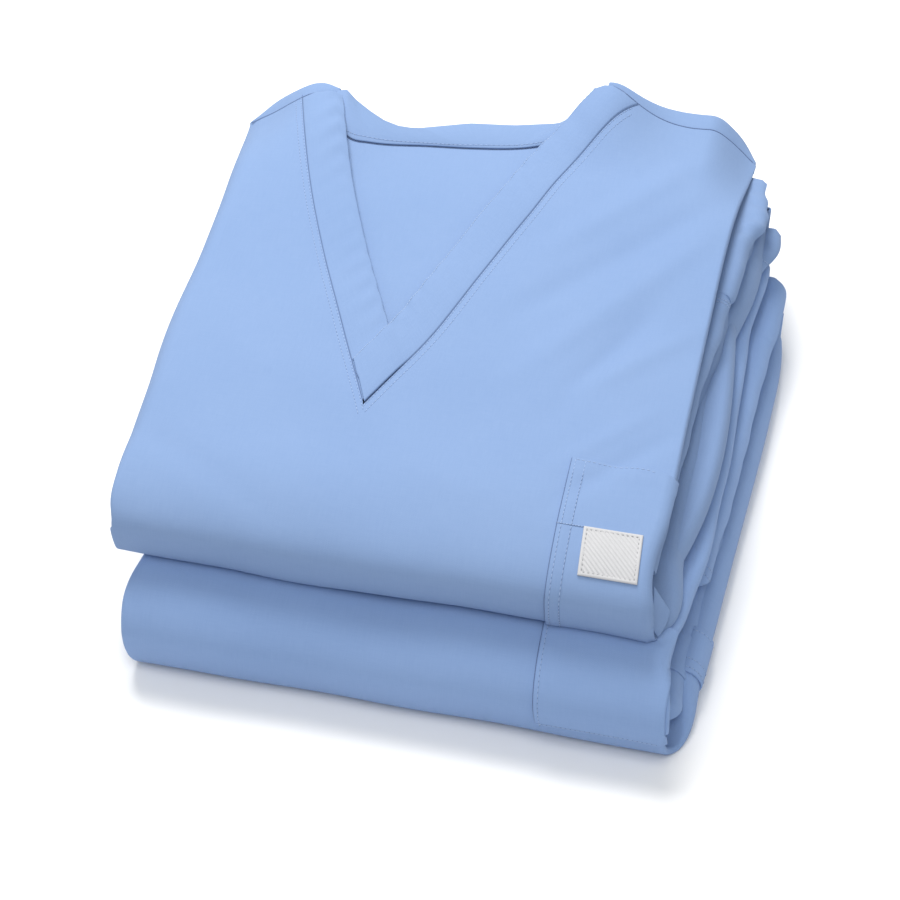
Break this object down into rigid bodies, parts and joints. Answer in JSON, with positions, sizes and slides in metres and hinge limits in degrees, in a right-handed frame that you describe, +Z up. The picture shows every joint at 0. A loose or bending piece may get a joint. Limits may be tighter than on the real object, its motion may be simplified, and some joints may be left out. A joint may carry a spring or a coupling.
{
  "type": "folded patient gown set",
  "caption": "V-neck patient gown with crossover neck band and patch pocket, folded once and laid on its folded matching trousers.",
  "frame": {"origin": "centre of the bottom of the bounding box, on the surface that the bundle lies on", "axes": "+X across the bundle towards the pocket side, -Y towards the folded front edge, +Y towards the shoulders, +Z up"},
  "size_m": [0.344, 0.4088, 0.126],
  "materials": {
    "gown_cloth": "matte plain-weave cotton blend, light periwinkle blue",
    "gown_trim": "same cloth, doubled and topstitched",
    "trouser_cloth": "matte plain-weave cotton blend, a shade deeper",
    "label_cloth": "white ribbed woven label, blank"
  },
  "bodies": {
    "trousers_lower": {"leg_inner_lower": "trouser_cloth", "leg_outer_lower": "trouser_cloth", "leg_hem_left": "trouser_cloth", "leg_hem_right": "trouser_cloth", "thigh_pocket_lower": "trouser_cloth"},
    "trousers_upper": {"leg_outer_upper": "trouser_cloth", "leg_inner_upper": "trouser_cloth", "waistband": "trouser_cloth", "thigh_pocket_upper": "trouser_cloth"},
    "gown_lower": {"gown_back_lower": "gown_cloth", "gown_front_lower": "gown_cloth", "gown_hem": "gown_trim", "pocket_lower": "gown_cloth", "pocket_placket_lower": "gown_trim"},
    "gown_upper": {"gown_front_upper": "gown_cloth", "gown_back_upper": "gown_cloth", "sleeve_left": "gown_cloth", "sleeve_right": "gown_cloth", "side_fold_left": "gown_cloth", "side_fold_right": "gown_cloth", "shoulder_left": "gown_cloth", "shoulder_right": "gown_cloth", "neck_band_left": "gown_trim", "neck_band_right": "gown_trim", "neck_band_back": "gown_trim", "pocket_upper": "gown_cloth", "pocket_placket_upper": "gown_trim", "pocket_bar_tack": "gown_trim", "blank_label": "label_cloth"}
  },
  "joints": [
    {"name": "trousers_unfold", "type": "hinge", "parent": "trousers_lower", "child": "trousers_upper", "pos_m": [0, -0.2049, 0.03], "axis": [1, 0, 0], "range_deg": [0, 25]},
    {"name": "gown_lift", "type": "slide", "parent": "trousers_upper", "child": "gown_lower", "axis": [0, 0, 1], "range_m": [0, 0.15]},
    {"name": "gown_unfold", "type": "hinge", "parent": "gown_lower", "child": "gown_upper", "pos_m": [0, -0.1771, 0.084], "axis": [1, 0, 0], "range_deg": [0, 180]}
  ]
}
